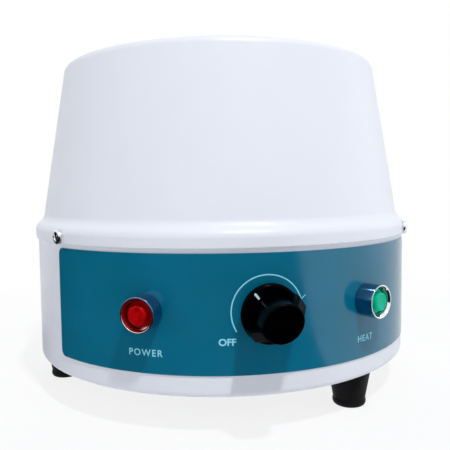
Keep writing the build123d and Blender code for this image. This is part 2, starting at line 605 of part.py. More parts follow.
def foot_screws():
    seat = FOOT_RECESS_DEPTH - FOOT_WASHER
    end = PAN_FLOOR + FOOT_NUT_THICKNESS + SCREW_TAIL
    screw = rod(FOOT_SCREW_HEAD_RADIUS, seat - FOOT_SCREW_HEAD, seat) + rod(FOOT_SCREW_RADIUS, seat, end)
    screw = fillet(screw.edges().group_by(Axis.Z)[0], FOOT_SCREW_HEAD / 2)
    return [place * screw for place in foot_places()]


def foot_washers():
    hole = FOOT_SCREW_RADIUS + HOLE_CLEARANCE
    washer = tube(FOOT_WASHER_RADIUS, hole, FOOT_RECESS_DEPTH - FOOT_WASHER, FOOT_RECESS_DEPTH)
    return [place * washer for place in foot_places()]


def foot_nuts():
    nut = hex_nut(FOOT_NUT_FLATS, FOOT_SCREW_RADIUS, PAN_FLOOR, PAN_FLOOR + FOOT_NUT_THICKNESS)
    return [place * nut for place in foot_places()]


# ---- Cord gland, in a frame with z = 0 on the pan's outer surface ----

def gland_body():
    body = rod(GLAND_RADIUS, -GLAND_SPIGOT, GLAND_THREAD_END) + hexagon(GLAND_FLATS, 0, GLAND_HEX)
    body -= rod(GLAND_BORE, -GLAND_SPIGOT, GLAND_THREAD_END)
    return body - rod(GLAND_SEAL_RADIUS, GLAND_HEX, GLAND_THREAD_END)


def gland_seal():
    """The rubber ring that the cap squeezes on the cord."""
    return tube(GLAND_SEAL_RADIUS, GLAND_SEAL_BORE, GLAND_HEX, GLAND_SEAL_END)


def gland_cap():
    """The cap has wrench flats at its back and a smooth nose that the cord leaves through."""
    back = GLAND_HEX + SEAT_GAP
    nose_back = back + GLAND_CAP_HEX
    nose = Pos(0, 0, nose_back) * Cone(GLAND_CAP_RADIUS, GLAND_CAP_NOSE, GLAND_FRONT - nose_back, align=BASE)
    nose = fillet(nose.edges().group_by(Axis.Z)[-1], GLAND_CAP_EDGE)
    cap = hexagon(GLAND_FLATS, back, nose_back) + nose
    cap -= rod(GLAND_RADIUS, back, GLAND_THREAD_END)
    cap -= rod(GLAND_SEAL_RADIUS, GLAND_THREAD_END, GLAND_SEAL_END)
    return cap - rod(GLAND_BORE, GLAND_SEAL_END, GLAND_FRONT)


def gland_locknut():
    corner = GLAND_FLATS / sqrt(3)
    face = sqrt(PAN_INSIDE**2 - corner**2) - PAN_RADIUS - SEAT_GAP
    return hex_nut(GLAND_FLATS, GLAND_RADIUS, face - GLAND_NUT_THICKNESS, face)


# ---- Terminal block and earth stud, on the pan's floor ----

def pole_offsets():
    return [TERMINAL_PITCH * (pole - (TERMINAL_POLES - 1) / 2) for pole in range(TERMINAL_POLES)]


def terminal_block():
    """A ceramic block with a screw well over each wire way."""
    length, width, height = TERMINAL_BLOCK
    block = Pos(*TERMINAL_PLACE, PAN_FLOOR) * Box(length, width, height, align=BASE)
    block = fillet(block.edges().filter_by(Axis.Z), TERMINAL_WELL)
    x, y = TERMINAL_PLACE
    wire_way = Rot(X=90) * Cylinder(WIRE_RADIUS + HOLE_CLEARANCE, 2 * width)
    for offset in pole_offsets():
        block -= Pos(x + offset, y, 0) * rod(TERMINAL_WELL, PAN_FLOOR + WIRE_HEIGHT, PAN_FLOOR + height)
        block -= Pos(x + offset, y, PAN_FLOOR + WIRE_HEIGHT) * wire_way
    fixing = rod(TERMINAL_FIXING_RADIUS, PAN_FLOOR, PAN_FLOOR + height / 2)
    return block - [place * fixing for place in terminal_fixing_places()]


def terminal_screws():
    x, y = TERMINAL_PLACE
    top = PAN_FLOOR + TERMINAL_BLOCK[2]
    screw = rod(TERMINAL_SCREW_RADIUS, PAN_FLOOR + WIRE_HEIGHT + WIRE_RADIUS + SEAT_GAP, top - TERMINAL_WELL)
    return [Pos(x + offset, y, 0) * screw for offset in pole_offsets()]


def terminal_fixings():
    """Screws from under the pan into the block."""
    screw = rod(TERMINAL_FIXING_RADIUS, FOOT_HEIGHT, PAN_FLOOR + TERMINAL_BLOCK[2] / 2 - SCREW_TAIL)
    screw += rod(TERMINAL_FIXING_HEAD, FOOT_HEIGHT - TERMINAL_FIXING_RADIUS, FOOT_HEIGHT)
    return [place * screw for place in terminal_fixing_places()]


def earth_stud():
    stud = rod(EARTH_RADIUS, FOOT_HEIGHT, PAN_FLOOR + EARTH_STUD_HEIGHT)
    stud += hexagon(EARTH_NUT_FLATS, FOOT_HEIGHT - EARTH_NUT_THICKNESS / 2, FOOT_HEIGHT)
    return Pos(*EARTH_PLACE) * stud


def earth_nuts():
    """One nut holds the stud in the pan, the other holds the lead's ring."""
    nut = hex_nut(EARTH_NUT_FLATS, EARTH_RADIUS, PAN_FLOOR, PAN_FLOOR + EARTH_NUT_THICKNESS)
    lift = EARTH_NUT_THICKNESS + EARTH_RING[1]
    return [Pos(*EARTH_PLACE) * nut, Pos(*EARTH_PLACE, lift) * nut]


# ---- Wires ----

def wire(points, bend):
    """A round insulated wire along straight runs joined by arcs."""
    path = FilletPolyline(*points, radius=bend)
    section = Plane(origin=path @ 0, z_dir=path % 0) * Circle(WIRE_RADIUS)
    return sweep(section, path=path)


def lead_bushes():
    """Ceramic beads with a flange that rests on the shield."""
    bead = rod(BEAD_RADIUS, SHIELD_TOP - BEAD_TAIL, SHIELD_TOP)
    bead += rod(BEAD_FLANGE_RADIUS, SHIELD_TOP, SHIELD_TOP + BEAD_FLANGE)
    bead -= rod(WIRE_RADIUS + HOLE_CLEARANCE, SHIELD_TOP - BEAD_TAIL, SHIELD_TOP + BEAD_FLANGE)
    return [Pos(*place) * bead for place in BEAD_PLACES]


def tag_end(side_x, side_y):
    """The free end of one of the regulator's blades."""
    half = REGULATOR_TAG_SPACING / 2
    tag_back = REGULATOR_BACK - REGULATOR_TAG[2] - WIRE_GAP
    return wall_frame(0, PANEL_LEVEL, PAN_RADIUS).from_local_coords((side_x * half, side_y * half, tag_back))


def terminal_way(pole):
    """The front of the block at one of its wire ways."""
    x, y = TERMINAL_PLACE
    return Vector(x + pole_offsets()[pole], y - TERMINAL_BLOCK[1] / 2 - WIRE_GAP, PAN_FLOOR + WIRE_HEIGHT)


def coil_end(side):
    x, y = BEAD_PLACES[side]
    return Vector(x, y, NEST_CENTRE + COIL_REACH * sin(LAST_RING) - COIL_RADIUS - WIRE_GAP)


def heater_return_lead():
    start, end = coil_end(1), terminal_way(1)
    below = Vector(start.X, start.Y, SHIELD_TOP - HEATER_DROPS[1] * BEAD_TAIL)
    return wire([start, below, end - Vector(0, HEATER_RETURN_RUN, 0), end], HEATER_BEND)


def heater_feed_lead():
    start, end = coil_end(0), tag_end(-1, 1)
    below = Vector(start.X, start.Y, SHIELD_TOP - HEATER_DROPS[0] * BEAD_TAIL)
    return wire([start, below, end + Vector(0, HEATER_FEED_RUN, 0), end], HEATER_BEND)


def supply_lead():
    start, end = terminal_way(0), tag_end(1, -1)
    out, back = SUPPLY_RUNS
    return wire([start, start - Vector(0, out, 0), end + Vector(0, back, 0), end], SUPPLY_BEND)


def lamp_lead(side):
    """From a blade of the regulator round to the lower tag of one lamp."""
    start = tag_end(side, side)
    lamp = wall_frame(side * LAMP_ANGLE, PANEL_LEVEL, LABEL_RADIUS)
    tag_back = LAMP_BODY_BACK - LAMP_TAG[2] - WIRE_GAP
    end = lamp.from_local_coords((0, -LAMP_TAG_SPACING / 2, tag_back))
    before = lamp.from_local_coords((0, -LAMP_TAG_SPACING / 2, tag_back - LAMP_TAG_RUN))
    out = start + Vector(0, LAMP_BLADE_RUN, 0)
    between = (out + before) / 2 + Vector(0, LAMP_SLACK, 0)
    return wire([start, out, between, before, end], WIRE_BEND)


def earth_lead():
    """From the last pole to a ring terminal under the stud's upper nut."""
    x, y = EARTH_PLACE
    radius, thickness = EARTH_RING
    reach, width = EARTH_TONGUE
    bottom = PAN_FLOOR + EARTH_NUT_THICKNESS
    turn = Rot(Z=EARTH_HEADING)
    tongue = Box(reach - EARTH_RADIUS, width, thickness, align=BASE)
    tongue = Pos(-(reach + EARTH_RADIUS) / 2, 0, bottom) * tongue
    ring = Pos(x, y, 0) * turn * (tube(radius, EARTH_RADIUS, bottom, bottom + thickness) + tongue)
    level = bottom + thickness / 2
    back = Vector(cos(radians(EARTH_HEADING)), sin(radians(EARTH_HEADING)), 0)
    stud = Vector(x, y, level)
    start = terminal_way(2)
    turn_back = stud - back * EARTH_RUN
    low = turn_back - Vector(*EARTH_SWEEP)
    points = [start, start - Vector(0, EARTH_WAY_RUN, 0), low, turn_back, stud - back * reach]
    return wire(points, WIRE_BEND) + ring


def place_all():
    """Every node of the mantle, by name."""
    panel = wall_frame(0, PANEL_LEVEL, PAN_RADIUS)
    turn = Rot(Z=90 - KNOB_POINTER - KNOB_GRIP_TURN)
    gland = wall_frame(180, GLAND_LEVEL, PAN_RADIUS)
    nodes = {
        "base_pan": base_pan(),
        "upper_housing": upper_housing(),
        "heat_shield": heat_shield(),
        "housing_screws": housing_screws(),
        "housing_nuts": housing_nuts(),
        "flask_nest": flask_nest(),
        "heating_coil": heating_coil(),
        "insulation": insulation(),
        "front_label": front_label(),
        "regulator_case": panel * regulator_case(),
        "regulator_cover": panel * regulator_cover(),
        "regulator_tags": [panel * tag for tag in regulator_tags()],
        "regulator_bush": panel * regulator_bush(),
        "regulator_washer": panel * regulator_washer(),
        "regulator_nut": panel * regulator_nut(),
        "control_shaft": panel * turn * control_shaft(),
        "control_knob": panel * turn * control_knob(),
        "knob_grub_screw": panel * turn * knob_grub_screw(),
        "foot_screws": foot_screws(),
        "foot_washers": foot_washers(),
        "foot_nuts": foot_nuts(),
        "gland_body": gland * gland_body(),
        "gland_seal": gland * gland_seal(),
        "gland_cap": gland * gland_cap(),
        "gland_locknut": gland * gland_locknut(),
        "terminal_block": terminal_block(),
        "terminal_screws": terminal_screws(),
        "terminal_fixings": terminal_fixings(),
        "earth_stud": earth_stud(),
        "earth_nuts": earth_nuts(),
        "lead_bushes": lead_bushes(),
        "heater_feed_lead": heater_feed_lead(),
        "heater_return_lead": heater_return_lead(),
        "supply_lead": supply_lead(),
        "power_lamp_lead": lamp_lead(-1),
        "heat_lamp_lead": lamp_lead(1),
        "earth_lead": earth_lead(),
    }
    for name, place in zip(FOOT_ANGLES, foot_places()):
        nodes[name] = place * foot()
    for name, side in (("power", -1), ("heat", 1)):
        lamp = wall_frame(side * LAMP_ANGLE, PANEL_LEVEL, LABEL_RADIUS)
        for part_name, part in lamp_parts(name).items():
            nodes[part_name] = [lamp * piece for piece in part] if isinstance(part, list) else lamp * part
    return nodes


os.makedirs("parts", exist_ok=True)
for node_name, shape in place_all().items():
    whole = Compound(children=list(shape)) if isinstance(shape, list) else shape
    export_step(whole, f"parts/{node_name}.step")
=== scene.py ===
from math import atan2, cos, degrees, pi, radians, sin, sqrt, tan

import bmesh
import bpy
from mathutils import Matrix, Vector


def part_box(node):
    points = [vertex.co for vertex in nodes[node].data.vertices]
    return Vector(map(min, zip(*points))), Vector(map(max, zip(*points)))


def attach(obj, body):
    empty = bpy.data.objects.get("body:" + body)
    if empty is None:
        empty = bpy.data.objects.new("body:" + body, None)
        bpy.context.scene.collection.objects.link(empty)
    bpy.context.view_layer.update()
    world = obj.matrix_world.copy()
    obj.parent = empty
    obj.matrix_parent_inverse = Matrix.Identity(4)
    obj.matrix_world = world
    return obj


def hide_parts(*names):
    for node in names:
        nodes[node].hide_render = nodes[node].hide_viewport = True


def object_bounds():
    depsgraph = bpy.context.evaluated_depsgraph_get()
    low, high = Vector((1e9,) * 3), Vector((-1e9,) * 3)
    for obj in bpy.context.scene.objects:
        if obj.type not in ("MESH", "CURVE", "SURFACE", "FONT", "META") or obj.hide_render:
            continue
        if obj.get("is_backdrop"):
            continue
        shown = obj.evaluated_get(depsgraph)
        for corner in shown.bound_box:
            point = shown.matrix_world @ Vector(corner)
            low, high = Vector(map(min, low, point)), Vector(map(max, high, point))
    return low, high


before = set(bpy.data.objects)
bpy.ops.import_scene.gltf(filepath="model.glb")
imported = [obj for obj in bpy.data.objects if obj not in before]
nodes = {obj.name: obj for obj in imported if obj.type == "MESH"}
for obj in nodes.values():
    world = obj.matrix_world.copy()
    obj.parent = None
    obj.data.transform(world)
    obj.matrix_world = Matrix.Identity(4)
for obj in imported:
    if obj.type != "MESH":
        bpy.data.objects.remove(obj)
cad_low, cad_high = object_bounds()
scene = bpy.context.scene
mm = 0.001


# ---- Camera ----
# It stands about 390 mm in front of the mantle's axis, left of the knob and just above the
# shoulder, and looks slightly down on the controls.

camera_place = Vector((-73.3, -387.1, 126.8)) * mm
camera_heading, camera_dip, camera_roll = 11.2, 3.83, -0.73

camera = bpy.data.objects.new("camera", bpy.data.cameras.new("camera"))
camera.data.lens = 43.52
camera.matrix_world = (
    Matrix.Translation(camera_place)
    @ Matrix.Rotation(radians(-camera_heading), 4, "Z")
    @ Matrix.Rotation(radians(90 - camera_dip), 4, "X")
    @ Matrix.Rotation(radians(camera_roll), 4, "Z")
)
scene.collection.objects.link(camera)
scene.camera = camera
scene.view_settings.view_transform = "Standard"


# ---- Studio ----
# A white room: one fairly hard lamp high in front, three broad soft panels, a white floor that
# keeps a pale shadow, and a dark cloth round the front that only polished surfaces show.

middle = (cad_low + cad_high) / 2


def studio_lamp(name, azimuth, elevation, distance, size, watts, colour):
    """An area lamp aimed at the object; azimuth is counted from the front towards the right."""
    out = Vector((
        sin(radians(azimuth)) * cos(radians(elevation)),
        -cos(radians(azimuth)) * cos(radians(elevation)),
        sin(radians(elevation)),
    ))
    lamp = bpy.data.lights.new(name, "AREA")
    lamp.shape = "DISK"
    lamp.size = size
    lamp.energy = watts
    lamp.color = colour
    holder = bpy.data.objects.new(name, lamp)
    holder.location = middle + out * distance
    holder.rotation_mode = "QUATERNION"
    holder.rotation_quaternion = out.to_track_quat("Z", "Y")
    scene.collection.objects.link(holder)
    return holder


studio_lamp(
    "key_lamp", azimuth=12, elevation=58, distance=1.5, size=0.1, watts=12.4,
    colour=(0.97, 0.98, 1.0),
)
left_panel = studio_lamp(
    "left_panel", azimuth=-78, elevation=10, distance=1.1, size=0.8, watts=1.2,
    colour=(1.0, 0.99, 0.97),
)
left_panel.visible_glossy = False
studio_lamp(
    "back_panel", azimuth=180, elevation=20, distance=1.2, size=0.9, watts=3.2,
    colour=(0.98, 0.99, 1.0),
)
studio_lamp(
    "right_panel", azimuth=92, elevation=10, distance=1.1, size=0.8, watts=1.1,
    colour=(0.95, 0.98, 1.0),
)


def seen_as_background(tree):
    """1 for the rays that show the room to the camera, directly or in metal and glass."""
    path = tree.nodes.new("ShaderNodeLightPath")
    total = None
    for ray in ("Is Camera Ray", "Is Glossy Ray", "Is Transmission Ray"):
        add = tree.nodes.new("ShaderNodeMath")
        add.operation = "ADD"
        add.use_clamp = True
        tree.links.new(path.outputs[ray], add.inputs[0])
        if total:
            tree.links.new(total, add.inputs[1])
        else:
            add.inputs[1].default_value = 0
        total = add.outputs[0]
    return total


world = bpy.data.worlds.new("studio")
world.use_nodes = True
tree = world.node_tree
tree.nodes.clear()
lighting = tree.nodes.new("ShaderNodeBackground")
lighting.inputs["Color"].default_value = (0.93, 0.95, 1.0, 1)
lighting.inputs["Strength"].default_value = 0.50
shown = tree.nodes.new("ShaderNodeBackground")
shown.inputs["Color"].default_value = (1, 1, 1, 1)
shown.inputs["Strength"].default_value = 1.0
mix = tree.nodes.new("ShaderNodeMixShader")
tree.links.new(seen_as_background(tree), mix.inputs[0])
tree.links.new(lighting.outputs[0], mix.inputs[1])
tree.links.new(shown.outputs[0], mix.inputs[2])
tree.links.new(mix.outputs[0], tree.nodes.new("ShaderNodeOutputWorld").inputs["Surface"])
scene.world = world

floor_half = 3.0
shape = bmesh.new()
bmesh.ops.create_grid(shape, x_segments=1, y_segments=1, size=floor_half)
floor_mesh = bpy.data.meshes.new("floor")
shape.to_mesh(floor_mesh)
shape.free()
floor = bpy.data.objects.new("floor", floor_mesh)
scene.collection.objects.link(floor)
floor_paper = bpy.data.materials.new("white_paper")
floor_paper.use_nodes = True
tree = floor_paper.node_tree
paper = tree.nodes["Principled BSDF"]
paper.inputs["Base Color"].default_value = (0.90, 0.90, 0.91, 1)
paper.inputs["Roughness"].default_value = 0.9
paper.inputs["Specular IOR Level"].default_value = 0.1
glow = tree.nodes.new("ShaderNodeEmission")
glow.inputs["Strength"].default_value = 1.0
away = tree.nodes.new("ShaderNodeVectorMath")
away.operation = "LENGTH"
tree.links.new(tree.nodes.new("ShaderNodeTexCoord").outputs["Object"], away.inputs[0])
fade = tree.nodes.new("ShaderNodeMapRange")
fade.inputs["From Min"].default_value = 0.2
fade.inputs["From Max"].default_value = 0.5
fade.inputs["To Min"].default_value = 0.82
fade.inputs["To Max"].default_value = 1.0
tree.links.new(away.outputs["Value"], fade.inputs["Value"])
lift = tree.nodes.new("ShaderNodeMath")
lift.operation = "MULTIPLY"
tree.links.new(seen_as_background(tree), lift.inputs[0])
tree.links.new(fade.outputs["Result"], lift.inputs[1])
mix = tree.nodes.new("ShaderNodeMixShader")
tree.links.new(lift.outputs[0], mix.inputs[0])
tree.links.new(paper.outputs[0], mix.inputs[1])
tree.links.new(glow.outputs[0], mix.inputs[2])
tree.links.new(mix.outputs[0], tree.nodes["Material Output"].inputs["Surface"])
floor.data.materials.append(floor_paper)
floor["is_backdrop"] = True

screen_reach, screen_height = 1.75, 0.3
screen_start, screen_angle, screen_steps = 149, 152, 40
cloth_start, cloth_lift = 0.135, 0.002
shape = bmesh.new()
corners = [
    shape.verts.new((cloth_start, 0, cloth_lift)),
    shape.verts.new((screen_reach, 0, cloth_lift)),
    shape.verts.new((screen_reach, 0, screen_height)),
]
for one, other in zip(corners, corners[1:]):
    shape.edges.new((one, other))
bmesh.ops.rotate(
    shape, cent=(0, 0, 0), matrix=Matrix.Rotation(radians(screen_start), 3, "Z"), verts=shape.verts
)
bmesh.ops.spin(
    shape, geom=shape.verts[:] + shape.edges[:], cent=(0, 0, 0), axis=(0, 0, 1),
    angle=radians(screen_angle), steps=screen_steps,
)
screen_mesh = bpy.data.meshes.new("dark_screen")
shape.to_mesh(screen_mesh)
shape.free()
dark_screen = bpy.data.objects.new("dark_screen", screen_mesh)
scene.collection.objects.link(dark_screen)
dark_cloth = bpy.data.materials.new("dark_cloth")
dark_cloth.use_nodes = True
cloth = dark_cloth.node_tree.nodes["Principled BSDF"]
cloth.inputs["Base Color"].default_value = (0.01, 0.01, 0.012, 1)
cloth.inputs["Roughness"].default_value = 1.0
cloth.inputs["Specular IOR Level"].default_value = 0.0
dark_screen.data.materials.append(dark_cloth)
dark_screen.visible_camera = False
dark_screen.visible_diffuse = False
dark_screen.visible_shadow = False
dark_screen.visible_transmission = False
dark_screen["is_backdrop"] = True


# ---- Upper housing ----
# One spinning of 1.2 mm steel sheet: skirt, shoulder, cone, top flange and a lip that turns down
# into the nest. It is powder-coated white, with a fine orange peel.

coat_white = (0.78, 0.80, 0.86)
coat_shade = (0.765, 0.785, 0.845)


def finish(name, base, roughness, metallic=0.0, specular=0.5, ior=1.5):
    """A material with its shader's plain values set: the start of every finish here."""
    material = bpy.data.materials.new(name)
    material.use_nodes = True
    shader = material.node_tree.nodes["Principled BSDF"]
    shader.inputs["Base Color"].default_value = (*base, 1)
    shader.inputs["Roughness"].default_value = roughness
    shader.inputs["Metallic"].default_value = metallic
    shader.inputs["Specular IOR Level"].default_value = specular
    shader.inputs["IOR"].default_value = ior
    return material


def grain(material, size, detail=2.0, stretch=(1, 1, 1)):
    """Noise on the piece's own coordinates, whose lumps are about size across."""
    tree = material.node_tree
    where = tree.nodes.new("ShaderNodeTexCoord").outputs["Object"]
    if stretch != (1, 1, 1):
        pull = tree.nodes.new("ShaderNodeMapping")
        pull.inputs["Scale"].default_value = stretch
        tree.links.new(where, pull.inputs["Vector"])
        where = pull.outputs["Vector"]
    noise = tree.nodes.new("ShaderNodeTexNoise")
    noise.inputs["Scale"].default_value = 1 / size
    noise.inputs["Detail"].default_value = detail
    tree.links.new(where, noise.inputs["Vector"])
    return noise.outputs["Fac"]


def spread(material, fac, low, high):
    """A noise's middle range stretched to run from low to high."""
    ramp = material.node_tree.nodes.new("ShaderNodeMapRange")
    ramp.inputs["From Min"].default_value = 0.3
    ramp.inputs["From Max"].default_value = 0.7
    ramp.inputs["To Min"].default_value = low
    ramp.inputs["To Max"].default_value = high
    material.node_tree.links.new(fac, ramp.inputs["Value"])
    return ramp.outputs["Result"]


def tint(material, fac, one, other):
    """Drives the shader's colour between two close colours."""
    tree = material.node_tree
    blend = tree.nodes.new("ShaderNodeMix")
    blend.data_type = "RGBA"
    blend.inputs["A"].default_value = (*one, 1)
    blend.inputs["B"].default_value = (*other, 1)
    tree.links.new(spread(material, fac, 0, 1), blend.inputs["Factor"])
    tree.links.new(blend.outputs["Result"], tree.nodes["Principled BSDF"].inputs["Base Color"])


def gloss(material, fac, low, high):
    """Drives the shader's roughness between two values."""
    socket = material.node_tree.nodes["Principled BSDF"].inputs["Roughness"]
    material.node_tree.links.new(spread(material, fac, low, high), socket)


def relief(material, height, depth, strength=1.0):
    """Adds a bump of that depth over whatever bump the material already has."""
    tree = material.node_tree
    socket = tree.nodes["Principled BSDF"].inputs["Normal"]
    bump = tree.nodes.new("ShaderNodeBump")
    bump.inputs["Distance"].default_value = depth
    bump.inputs["Strength"].default_value = strength
    tree.links.new(height, bump.inputs["Height"])
    if socket.is_linked:
        tree.links.new(socket.links[0].from_socket, bump.inputs["Normal"])
    tree.links.new(bump.outputs["Normal"], socket)


powder_coat = finish("powder_coat", coat_white, 0.4, specular=0.45)
tint(powder_coat, grain(powder_coat, 60 * mm), coat_white, coat_shade)
gloss(powder_coat, grain(powder_coat, 14 * mm), 0.36, 0.46)
relief(powder_coat, grain(powder_coat, 1.3 * mm, detail=1.0), 0.05 * mm, 0.6)


def dress(node, material):
    """Gives a CAD node its finish, and leaves its mesh alone."""
    nodes[node].data.materials.clear()
    nodes[node].data.materials.append(material)


dress("upper_housing", powder_coat)


# ---- Base pan ----
# A drawn pan of 1.2 mm steel sheet under the skirt, in the same white coat. Its floor has radial
# vents and the holes of the feet.

dress("base_pan", powder_coat)
pan_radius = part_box("base_pan")[1].x
pan_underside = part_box("base_pan")[0].z


# ---- Housing screws ----
# Chromed pan-head screws with a cross recess, through skirt, pan and shield: one at each side of
# the label and one at the back.

screw_head_radius = 4.2 * mm
screw_head_height = 2.2 * mm
screw_shank_radius = 1.75 * mm
screw_shank_length = 7.6 * mm
recess_reach = 2.3 * mm
recess_width = 0.95 * mm
recess_depth = 1.5 * mm
screw_edge, screw_dome = 0.15 * mm, 1.3 * mm
recess_taper = (0.45, 0.7, 1)
screw_turns = {-57: 28, 57: 64, 180: 8}  # angle round the housing: turn of the cross, in degrees

chrome = finish("chrome", (0.80, 0.81, 0.83), 0.2, metallic=1.0)
gloss(chrome, grain(chrome, 3 * mm), 0.16, 0.26)
relief(chrome, grain(chrome, 5 * mm, detail=0.0), 0.01 * mm, 0.3)


def on_wall(angle, level, radius):
    """A place on the housing's side: x to the right, y up and z straight out of the wall."""
    right = Vector((cos(radians(angle)), sin(radians(angle)), 0))
    out = Vector((sin(radians(angle)), -cos(radians(angle)), 0))
    turn = Matrix((right, (0, 0, 1), out)).transposed().to_4x4()
    return Matrix.Translation(out * radius + Vector((0, 0, level))) @ turn


def piece(name, shape, material, body="housing", sharp=35):
    """Makes a finished object of the shape, smooth up to that angle, and rides it on its body."""
    mesh = bpy.data.meshes.new(name)
    bmesh.ops.recalc_face_normals(shape, faces=shape.faces)
    shape.to_mesh(mesh)
    shape.free()
    mesh.shade_smooth()
    mesh.set_sharp_from_angle(angle=radians(sharp))
    mesh.materials.append(material)
    made = bpy.data.objects.new(name, mesh)
    scene.collection.objects.link(made)
    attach(made, body)
    return made


def turned(outline, bends=None, steps=96, closed=False):
    """A bmesh of the (radius, height) points spun round Z, with some corners rounded by bends."""
    shape = bmesh.new()
    corners = [shape.verts.new((radius, 0, height)) for radius, height in outline]
    for one, other in zip(corners, corners[1:]):
        shape.edges.new((one, other))
    if closed:
        shape.edges.new((corners[-1], corners[0]))
    cuts = []
    for index, radius in (bends or {}).items():
        before = corners[index - 1].co - corners[index].co
        after = corners[(index + 1) % len(corners)].co - corners[index].co
        cuts.append((corners[index], radius / tan(before.angle(after) / 2)))
    for corner, reach in cuts:
        bmesh.ops.bevel(
            shape, geom=[corner], offset=reach, offset_type="OFFSET", affect="VERTICES",
            segments=6, profile=0.5, material=-1,
        )
    bmesh.ops.spin(
        shape, geom=shape.verts[:] + shape.edges[:], cent=(0, 0, 0), axis=(0, 0, 1),
        angle=2 * pi, steps=steps, use_merge=True,
    )
    bmesh.ops.remove_doubles(shape, verts=shape.verts, dist=0.001 * mm)
    return shape


def bar(width, height, depth):
    """A bmesh box on the plane z = 0, as deep as depth below it."""
    shape = bmesh.new()
    bmesh.ops.create_cube(shape, size=1.0)
    bmesh.ops.translate(shape, vec=(0, 0, -0.5), verts=shape.verts)
    bmesh.ops.scale(shape, vec=(width, height, depth), verts=shape.verts)
    return shape


def join(shape, other, place=Matrix()):
    """Adds a copy of another bmesh to the shape at a place."""
    mesh = bpy.data.meshes.new("part")
    other.to_mesh(mesh)
    mesh.transform(place)
    shape.from_mesh(mesh)
    bpy.data.meshes.remove(mesh)


def carve(target, cutter_shape):
    """Cuts a bmesh out of an object, and bakes the cut into the mesh."""
    mesh = bpy.data.meshes.new("cutter")
    bmesh.ops.recalc_face_normals(cutter_shape, faces=cutter_shape.faces)
    cutter_shape.to_mesh(mesh)
    cutter_shape.free()
    cutter = bpy.data.objects.new("cutter", mesh)
    scene.collection.objects.link(cutter)
    cut = target.modifiers.new("cut", "BOOLEAN")
    cut.operation = "DIFFERENCE"
    cut.solver = "EXACT"
    cut.object = cutter
    bpy.context.view_layer.update()
    evaluated = target.evaluated_get(bpy.context.evaluated_depsgraph_get())
    done = bpy.data.meshes.new_from_object(evaluated)
    target.modifiers.clear()
    target.data = done
    bpy.data.objects.remove(cutter)


skirt_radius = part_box("upper_housing")[1].x
screw_low, screw_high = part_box("housing_screws")
screw_level = (screw_low.z + screw_high.z) / 2
screws = bmesh.new()
recesses = bmesh.new()
head = turned([
    (0, -screw_shank_length), (screw_shank_radius, -screw_shank_length), (screw_shank_radius, 0),
    (screw_head_radius, 0), (screw_head_radius, screw_head_height), (0, screw_head_height),
], bends={3: screw_edge, 4: screw_dome}, steps=64)
arm = bar(2 * recess_reach, recess_width, recess_depth)
tip = [corner for corner in arm.verts if corner.co.z < 0]
bmesh.ops.scale(arm, vec=recess_taper, verts=tip)
for angle, turn in screw_turns.items():
    seat = on_wall(angle, screw_level, skirt_radius)
    join(screws, head, seat)
    lift = Matrix.Translation((0, 0, screw_head_height))
    for quarter in (0, 90):
        join(recesses, arm, seat @ lift @ Matrix.Rotation(radians(turn + quarter), 4, "Z"))
head.free()
arm.free()
screw_heads = piece("cross_head_screws", screws, chrome)
carve(screw_heads, recesses)
screw_heads.data.set_sharp_from_angle(angle=radians(35))
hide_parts("housing_screws")


# ---- Flask nest ----
# A bowl knitted of glass-fibre yarn that holds the flask. The sleeved heating wire is stitched to
# its outside, so its rings show as low ridges on the inside.

nest_low, nest_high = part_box("flask_nest")
nest_outside = nest_high.x
nest_wall = 3.2 * mm
nest_inside = nest_outside - nest_wall
nest_centre = nest_low.z + nest_outside
hem_bevel, hem_outer_drop, hem_inner_drop = 0.6 * mm, 2.0 * mm, 1.2 * mm
ridge_pitch = 9.0 * mm
ridge_height = 0.55 * mm
ridge_sharpness, ridge_fade = 3, 6
yarn = 1.9 * mm
nest_steps = 144
bowl_steps, outside_steps = 120, 24

nest_shape = bmesh.new()
rims = []
for radius, steps in ((nest_outside, outside_steps), (nest_inside, bowl_steps)):
    pole = nest_shape.verts.new((0, 0, nest_centre - radius))
    arc = bmesh.ops.spin(
        nest_shape, geom=[pole], cent=(0, 0, nest_centre), axis=(0, -1, 0),
        angle=pi / 2, steps=steps,
    )
    rims += [item for item in arc["geom_last"] if isinstance(item, bmesh.types.BMVert)]
hem = [rims[0]]
for radius, below in (
    (nest_outside, hem_outer_drop), (nest_outside - hem_bevel, 0),
    (nest_inside + hem_bevel, 0), (nest_inside, hem_inner_drop),
):
    hem.append(nest_shape.verts.new((radius, 0, nest_high.z - below)))
hem.append(rims[1])
for one, other in zip(hem, hem[1:]):
    nest_shape.edges.new((one, other))
bmesh.ops.spin(
    nest_shape, geom=nest_shape.verts[:] + nest_shape.edges[:], cent=(0, 0, 0), axis=(0, 0, 1),
    angle=2 * pi, steps=nest_steps, use_merge=True,
)
bmesh.ops.remove_doubles(nest_shape, verts=nest_shape.verts, dist=0.001 * mm)
for corner in nest_shape.verts:
    place = corner.co - Vector((0, 0, nest_centre))
    polar = atan2(sqrt(place.x**2 + place.y**2), -place.z)
    if polar < pi / 2 and place.length < nest_inside + 0.1 * mm:
        ring = max(0, cos(2 * pi * nest_inside * polar / ridge_pitch))
        start = min(1, polar * ridge_fade)
        corner.co -= place.normalized() * ridge_height * ring**ridge_sharpness * start
flat = nest_shape.loops.layers.uv.new("cloth")
for face in nest_shape.faces:
    for corner in face.loops:
        place = corner.vert.co - Vector((0, 0, nest_centre))
        below = max(-place.z, 0)
        across = sqrt(place.x**2 + place.y**2)
        reach = place.length * atan2(across, below) + max(place.z, 0)
        way = Vector((place.x, place.y)) / max(across, 0.001 * mm)
        corner[flat].uv = way * reach

glass_cloth = finish("glass_cloth", (0.83, 0.815, 0.77), 0.85, specular=0.3)
tree = glass_cloth.node_tree
cloth_map = tree.nodes.new("ShaderNodeUVMap")
cloth_map.uv_map = "cloth"


